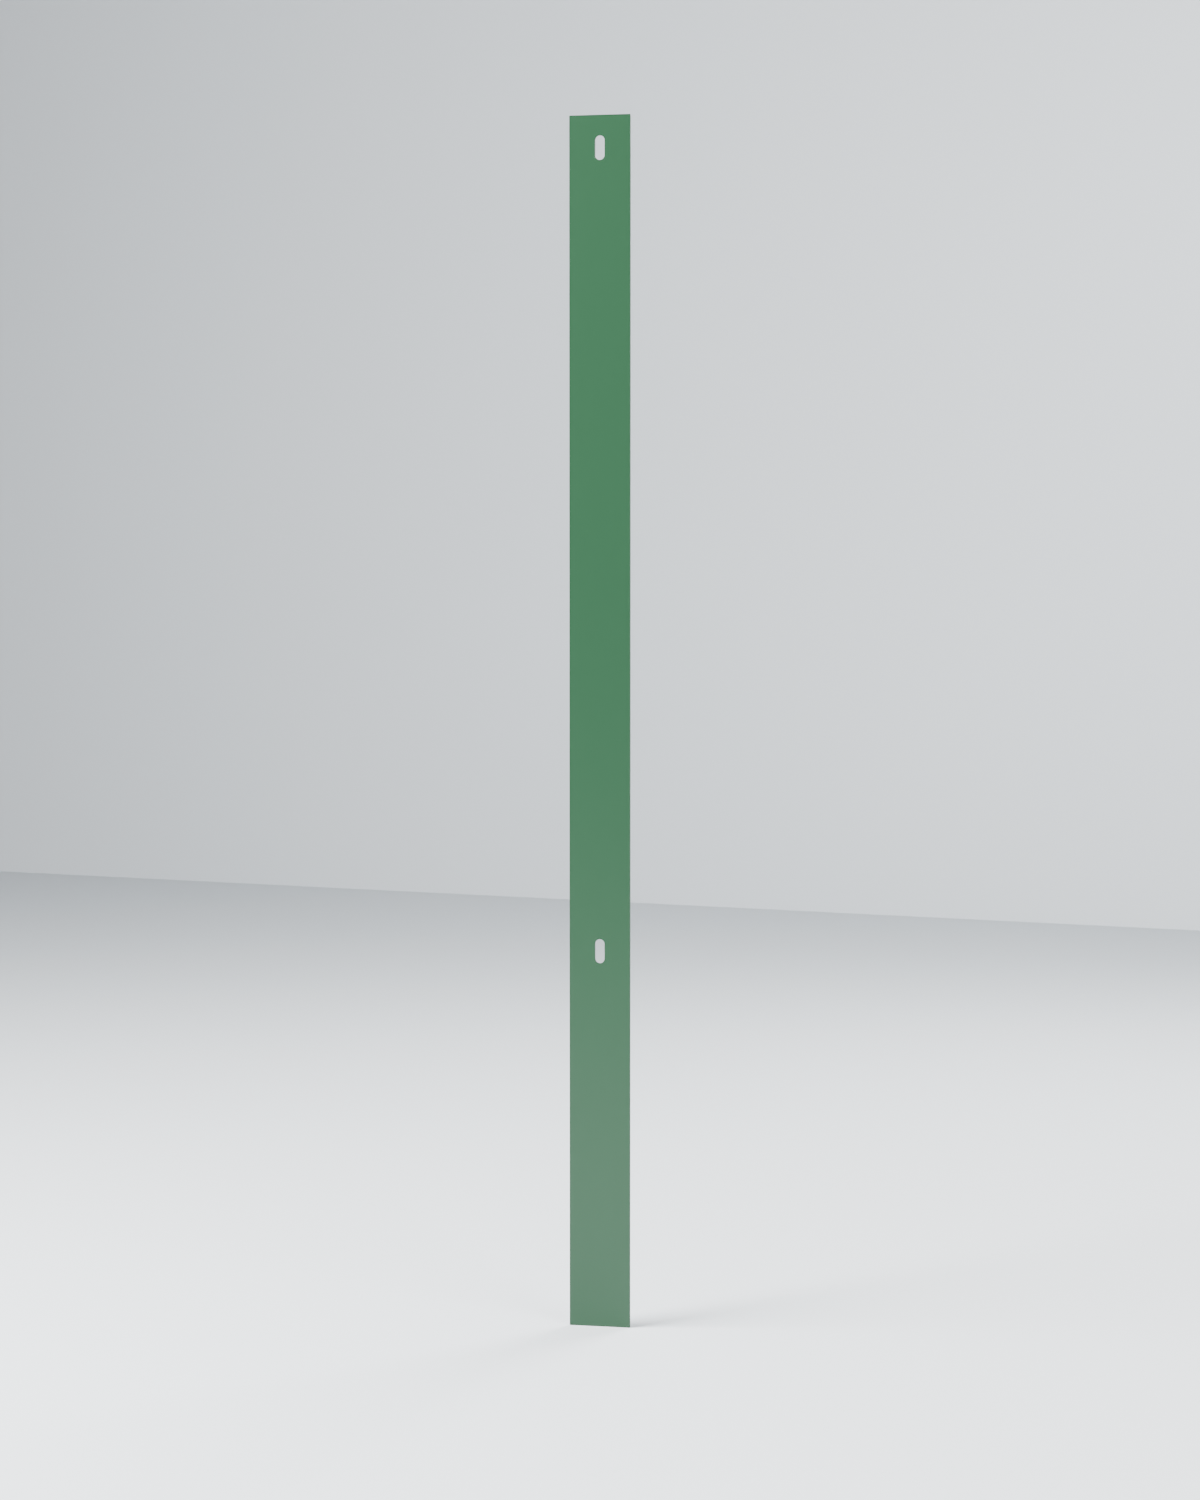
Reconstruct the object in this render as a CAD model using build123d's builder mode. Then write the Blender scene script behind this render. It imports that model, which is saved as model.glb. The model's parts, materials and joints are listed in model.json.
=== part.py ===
"""Flat delineator post: one punched and painted steel strip, millimetres, +Z up.

The origin is the centre of the foot. The post is wide along X and thin along Y,
and its front face looks along -Y.
"""

import os

from build123d import *

# the strip, as it is cropped to length
post_height = 1500.0
blade_width = 77.0
blade_thickness = 3.0
corner_radius = 1.0
edge_break = 0.3

# the bolt that each slot takes, and the room around it
bolt_diameter = 10.0
bolt_clearance = 2.0
slot_length = 30.0

# where the slots are, to their centres
top_slot_drop = 40.0
low_slot_rise = 470.0

slot_width = bolt_diameter + bolt_clearance
top_slot_rise = post_height - top_slot_drop

with BuildPart() as blade:
    with BuildSketch(Plane.XZ):
        Rectangle(blade_width, post_height, align=(Align.CENTER, Align.MIN))
        fillet(vertices(), corner_radius)
        with Locations((0, low_slot_rise), (0, top_slot_rise)):
            SlotOverall(slot_length, slot_width, rotation=90, mode=Mode.SUBTRACT)
    extrude(amount=blade_thickness / 2, both=True)
    broad_faces = faces().filter_by(Axis.Y)
    fillet(broad_faces.edges(), edge_break)
blade.part.label = "blade"

os.makedirs("parts", exist_ok=True)
export_step(blade.part, "parts/blade.step")
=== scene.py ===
"""Flat delineator post: a punched strip of green painted steel on a studio floor.

Metres, +Z up, with the origin at the centre of the foot. The post is wide along X,
thin along Y, and its front face looks along -Y.
"""

import json
import math

import bmesh
import bpy
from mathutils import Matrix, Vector


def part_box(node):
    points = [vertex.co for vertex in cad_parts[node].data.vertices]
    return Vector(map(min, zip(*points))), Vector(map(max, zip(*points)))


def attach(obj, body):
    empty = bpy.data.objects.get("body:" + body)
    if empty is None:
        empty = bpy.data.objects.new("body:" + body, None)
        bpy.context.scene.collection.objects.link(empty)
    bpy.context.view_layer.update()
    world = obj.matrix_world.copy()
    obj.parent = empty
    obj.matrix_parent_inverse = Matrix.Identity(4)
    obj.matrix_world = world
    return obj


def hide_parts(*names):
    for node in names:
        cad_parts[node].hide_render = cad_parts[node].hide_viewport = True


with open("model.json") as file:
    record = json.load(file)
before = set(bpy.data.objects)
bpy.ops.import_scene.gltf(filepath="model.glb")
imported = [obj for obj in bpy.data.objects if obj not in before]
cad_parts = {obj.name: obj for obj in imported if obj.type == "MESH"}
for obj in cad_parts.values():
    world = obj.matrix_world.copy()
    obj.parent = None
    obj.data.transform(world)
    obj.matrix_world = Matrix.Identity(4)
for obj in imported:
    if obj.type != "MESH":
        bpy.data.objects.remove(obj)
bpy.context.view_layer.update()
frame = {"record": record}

# the strip and its slots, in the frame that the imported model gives
MM = 0.001
LOWEST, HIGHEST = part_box("blade")
WIDTH, THICKNESS, HEIGHT = HIGHEST - LOWEST
SLOTS = next(m for m in frame["record"]["mounts"] if m["name"] == "fixing_slots")
SLOT_WIDTH = 2 * SLOTS["dims"]["hole_r_mm"] * MM
SLOT_LENGTH = SLOTS["dims"]["slot_length_mm"] * MM
SLOT_SPACING = SLOTS["dims"]["spacing_y_mm"] * MM
SLOT_RISES = [SLOTS["pos_m"][2] + side * SLOT_SPACING / 2 for side in (-1, 1)]
CORNER_RADIUS = 1.0 * MM
EDGE_BREAK = 0.3 * MM

# how many faces round each curve
CORNER_STEPS = 6
SLOT_END_STEPS = 24
RIM_STEPS = 3

# the finishes
PAINT_GREEN = (0.0143, 0.0515, 0.0238)
PAINT_ROUGHNESS = 0.278
PAINT_IOR = 1.44
SHEET_WHITE = (0.76, 0.80, 0.832)


# ---- modelling ----


def edit(piece):
    """Opens one piece in edit mode with nothing of it selected."""
    bpy.ops.object.select_all(action="DESELECT")
    piece.select_set(True)
    bpy.context.view_layer.objects.active = piece
    bpy.ops.object.mode_set(mode="EDIT")
    bpy.ops.mesh.select_mode(type="EDGE")
    bpy.ops.mesh.select_all(action="DESELECT")


def select_edges(piece, wanted):
    """Selects the edges of the piece in edit mode whose run from end to end is wanted."""
    form = bmesh.from_edit_mesh(piece.data)
    for edge in form.edges:
        edge.select_set(wanted(edge.verts[1].co - edge.verts[0].co))
    bmesh.update_edit_mesh(piece.data)


def runs_through(run):
    """True for an edge that crosses the strip's thickness, along Y."""
    return abs(run.y) > 0.99 * run.length


def apply_modifiers(piece):
    """Makes the piece's modifiers part of its mesh, in their order."""
    bpy.ops.object.select_all(action="DESELECT")
    piece.select_set(True)
    bpy.context.view_layer.objects.active = piece
    for modifier in list(piece.modifiers):
        bpy.ops.object.modifier_apply(modifier=modifier.name)


def rounded_plate(name, width, depth, height, middle, radius, segments):
    """An upright plate with round corners: a radius of half its width gives an obround."""
    bpy.ops.object.select_all(action="DESELECT")
    bpy.ops.mesh.primitive_cube_add(size=1, location=middle, scale=(width, depth, height))
    bpy.ops.object.transform_apply(location=True, rotation=True, scale=True)
    plate = bpy.context.object
    plate.name = plate.data.name = name
    edit(plate)
    select_edges(plate, runs_through)
    bpy.ops.mesh.bevel(offset=radius, segments=segments, affect="EDGES", clamp_overlap=False)
    bpy.ops.mesh.select_all(action="SELECT")
    bpy.ops.mesh.remove_doubles(threshold=0.001 * MM)
    bpy.ops.mesh.normals_make_consistent(inside=False)
    bpy.ops.object.mode_set(mode="OBJECT")
    return plate


def punch(plate, rise):
    """Cuts one upright slot through the plate, with its centre at this height."""
    middle = (0, 0, rise)
    reach = 4 * THICKNESS
    tool = rounded_plate(
        "punch", SLOT_WIDTH, reach, SLOT_LENGTH, middle, SLOT_WIDTH / 2, SLOT_END_STEPS
    )
    cut = plate.modifiers.new("slot", "BOOLEAN")
    cut.operation = "DIFFERENCE"
    cut.solver = "EXACT"
    cut.object = tool
    apply_modifiers(plate)
    bpy.data.objects.remove(tool)


def painted_blade():
    """The whole strip: cropped to length, punched, and its rims just broken."""
    middle = (LOWEST + HIGHEST) / 2
    blade = rounded_plate(
        "painted_blade", WIDTH, THICKNESS, HEIGHT, middle, CORNER_RADIUS, CORNER_STEPS
    )
    for rise in SLOT_RISES:
        punch(blade, rise)
    rims = blade.modifiers.new("rims", "BEVEL")
    rims.limit_method = "ANGLE"
    rims.angle_limit = math.radians(60)
    rims.width = EDGE_BREAK
    rims.segments = RIM_STEPS
    apply_modifiers(blade)
    bpy.ops.object.shade_smooth()
    flats = blade.modifiers.new("flats", "WEIGHTED_NORMAL")
    flats.weight = 100
    apply_modifiers(blade)
    return blade


# ---- materials ----


class Value:
    """One shader socket: sums on values add the Math nodes that work them out."""

    def __init__(self, tree, socket):
        self.tree = tree
        self.socket = socket

    def node(self, kind, settings=None, out=0, **inputs):
        """Adds a node: its settings come first, then the value or link of each socket."""
        made = self.tree.nodes.new(kind)
        for key, value in (settings or {}).items():
            setattr(made, key, value)
        for key, value in inputs.items():
            slot = made.inputs[int(key[1:]) if key[0] == "_" else key.replace("_", " ")]
            if isinstance(value, Value):
                self.tree.links.new(value.socket, slot)
            else:
                slot.default_value = value
        return Value(self.tree, made.outputs[out])

    def maths(self, operation, *terms):
        numbered = {f"_{index}": term for index, term in enumerate(terms)}
        return self.node("ShaderNodeMath", {"operation": operation}, **numbered)

    def __add__(self, other):
        return self.maths("ADD", self, other)

    def __radd__(self, other):
        return self.maths("ADD", other, self)

    def __sub__(self, other):
        return self.maths("SUBTRACT", self, other)

    def __rsub__(self, other):
        return self.maths("SUBTRACT", other, self)

    def __mul__(self, other):
        return self.maths("MULTIPLY", self, other)

    def __rmul__(self, other):
        return self.maths("MULTIPLY", other, self)

    def __abs__(self):
        return self.maths("ABSOLUTE", self)

    def least(self, other):
        return self.maths("MINIMUM", self, other)

    def most(self, other):
        return self.maths("MAXIMUM", self, other)

    def root(self):
        return self.maths("SQRT", self)

    def fades(self, full, none):
        """One at the first distance, none at the second, and a soft slope between."""
        return self.node(
            "ShaderNodeMapRange",
            {"interpolation_type": "SMOOTHSTEP"},
            Value=self,
            From_Min=full,
            From_Max=none,
            To_Min=1.0,
            To_Max=0.0,
        )

    def grain(self, size, detail=2.0, stretch=(1, 1, 1)):
        """Noise between -0.5 and 0.5 whose lumps are this many metres across."""
        lumps_per_metre = [1 / (size * longer) for longer in stretch]
        place = self.node("ShaderNodeMapping", Vector=self, Scale=lumps_per_metre)
        return place.node("ShaderNodeTexNoise", Vector=place, Scale=1.0, Detail=detail) - 0.5


def new_material(name):
    """An empty material: its output node, and the place on the piece to work from."""
    material = bpy.data.materials.new(name)
    material.use_nodes = True
    material.node_tree.nodes.clear()
    output = material.node_tree.nodes.new("ShaderNodeOutputMaterial")
    place = Value(material.node_tree, None).node("ShaderNodeTexCoord", out="Object")
    return material, output, place


def mixed(share, first, second):
    """The colour that lies this share of the way from the first to the second."""
    colours = {"_6": (*first, 1), "_7": (*second, 1)}
    return share.node("ShaderNodeMix", {"data_type": "RGBA"}, out=2, _0=share, **colours)


def shaded(colour, gain):
    """The same colour, darker or lighter."""
    return tuple(channel * gain for channel in colour)


def gap_to_rim(x, z):
    """How far a point of the front face is from the outline or from a slot."""
    side = WIDTH / 2 - abs(x)
    end = HEIGHT / 2 - abs(z - HEIGHT / 2)
    gap = side.least(end)
    for rise in SLOT_RISES:
        past_straight = (abs(z - rise) - (SLOT_LENGTH - SLOT_WIDTH) / 2).most(0.0)
        gap = gap.least((x * x + past_straight * past_straight).root() - SLOT_WIDTH / 2)
    return gap


def green_paint():
    """Semi-gloss green paint with orange peel, a fat edge, and shear marks under it."""
    material, output, place = new_material("semi_gloss_green")
    x, y, z = (place.node("ShaderNodeSeparateXYZ", out=axis, Vector=place) for axis in "XYZ")

    # masks: the paint's fat edge round every rim, and the cut faces between the rims
    fat_edge = gap_to_rim(x, z).fades(0.3 * MM, 1.5 * MM)
    cut_face = abs(y).fades(THICKNESS / 2 - 0.6 * MM, THICKNESS / 2 - EDGE_BREAK)

    # colour: slow drifts in the coat, fine pigment, and a paler coat where it thins
    drift = place.grain(180 * MM, 3.0)
    cloud = place.grain(22 * MM, 3.0)
    pigment = place.grain(0.5 * MM, 2.0)
    depth = 0.5 + drift * 0.12 + cloud * 0.06 + pigment * 0.10 + fat_edge * 0.10
    colour = mixed(depth, shaded(PAINT_GREEN, 0.93), shaded(PAINT_GREEN, 1.07))

    # gloss: dry spray in soft patches, and a smoother film along the rims
    gloss = PAINT_ROUGHNESS + cloud * 0.01 + pigment * 0.01 - fat_edge * 0.01 + cut_face * 0.05

    # relief: orange peel all over, fine dust under the coat, and shear marks on the cuts
    peel = place.grain(2.4 * MM, 1.0) * (0.002 * MM)
    dust = place.grain(0.45 * MM, 2.0) * (0.0001 * MM)
    shear = place.grain(0.35 * MM, 2.0, (1, 16, 1)) * (0.012 * MM) * cut_face
    relief = place.node("ShaderNodeBump", Strength=1.0, Distance=1.0, Height=peel + dust + shear)

    shader = place.node(
        "ShaderNodeBsdfPrincipled",
        Base_Color=colour,
        Roughness=gloss,
        IOR=PAINT_IOR,
        Normal=relief,
    )
    material.node_tree.links.new(shader.socket, output.inputs["Surface"])
    return material


def pale_sheet(name, roughness):
    """Smooth pale paint of the studio, with the faint clouding of a rolled coat."""
    material, output, place = new_material(name)
    cloud = place.grain(350 * MM, 4.0)
    colour = mixed(0.5 + cloud, shaded(SHEET_WHITE, 0.995), shaded(SHEET_WHITE, 1.005))
    shader = place.node(
        "ShaderNodeBsdfPrincipled",
        Base_Color=colour,
        Roughness=roughness + cloud * 0.02,
        IOR=1.5,
    )
    material.node_tree.links.new(shader.socket, output.inputs["Surface"])
    return material


# ---- the studio ----

LENS = 85
SENSOR = 36
CAMERA_TURN = math.radians(12.65)
CAMERA_DISTANCE = 2.9185 * HEIGHT
CAMERA_RISE = 0.6287 * HEIGHT
AIM_RISE = 0.48 * HEIGHT
FAR_CLIP = 200
FLOOR_SPAN = 14
WALL_SPAN = 60
WALL_TURN = math.radians(-15.25)
WALL_GAP = 5.02
FLOOR_ROUGHNESS = 0.622
WALL_ROUGHNESS = 0.453
WORLD_TINT = (0.90, 0.97, 1.08)
WORLD_GLOW = 0.05
WORLD_SEEN = 0.85


def round_camera(right, away, rise):
    """A place given from the foot of the post, as the camera sees right and away."""
    sine, cosine = math.sin(CAMERA_TURN), math.cos(CAMERA_TURN)
    return Vector((right * cosine - away * sine, right * sine + away * cosine, rise))


def aimed(item, place, target):
    """Puts a camera or a light in its place and turns it to its target."""
    item.location = place
    item.rotation_euler = (Vector(target) - place).to_track_quat("-Z", "Y").to_euler()


def add_camera():
    lens = bpy.data.cameras.new("camera")
    lens.lens = LENS
    lens.sensor_width = SENSOR
    lens.clip_end = FAR_CLIP
    camera = bpy.data.objects.new("camera", lens)
    bpy.context.collection.objects.link(camera)
    aimed(camera, round_camera(0, -CAMERA_DISTANCE, CAMERA_RISE), (0, 0, AIM_RISE))
    bpy.context.scene.camera = camera


def studio_sheet(name, size, place, turn, roughness):
    """One square sheet of the studio, which is no part of the post."""
    bpy.ops.object.select_all(action="DESELECT")
    bpy.ops.mesh.primitive_plane_add(size=size, location=place, rotation=turn)
    sheet = bpy.context.object
    sheet.name = name
    sheet.data.materials.append(pale_sheet(name, roughness))


def add_studio():
    studio_sheet("studio_floor", FLOOR_SPAN, (0, 0, LOWEST.z), (0, 0, 0), FLOOR_ROUGHNESS)
    behind = Vector((-math.sin(WALL_TURN), math.cos(WALL_TURN), 0)) * WALL_GAP
    upright = (math.pi / 2, 0, WALL_TURN)
    studio_sheet("studio_wall", WALL_SPAN, behind, upright, WALL_ROUGHNESS)


def area_light(name, place, size, power):
    """A square softbox this many metres across, aimed at the post's middle."""
    lamp = bpy.data.lights.new(name, "AREA")
    lamp.size = size
    lamp.energy = power
    light = bpy.data.objects.new(name, lamp)
    bpy.context.collection.objects.link(light)
    aimed(light, place, (0, 0, HEIGHT / 2))
    light.visible_camera = False


def add_lights():
    area_light("key", round_camera(-2.71, -0.89, 2.99), 2.29, 692)
    area_light("rim", round_camera(1.73, 2.37, 2.76), 1.46, 169)
    area_light("fill", round_camera(2.65, -3.92, 1.30), 2.40, 413)


def add_world():
    """A studio that is dark all round, but pale where the camera sees past its sheets."""
    world = bpy.data.worlds.new("world")
    world.use_nodes = True
    start = Value(world.node_tree, None)
    seen = start.node("ShaderNodeLightPath", out="Is Camera Ray")
    colour = mixed(seen, shaded(WORLD_TINT, WORLD_GLOW), shaded(WORLD_TINT, WORLD_SEEN))
    background = world.node_tree.nodes["Background"]
    world.node_tree.links.new(colour.socket, background.inputs["Color"])
    bpy.context.scene.world = world


blade = painted_blade()
blade.data.materials.append(green_paint())
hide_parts("blade")
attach(blade, "root")

add_camera()
add_studio()
add_lights()
add_world()
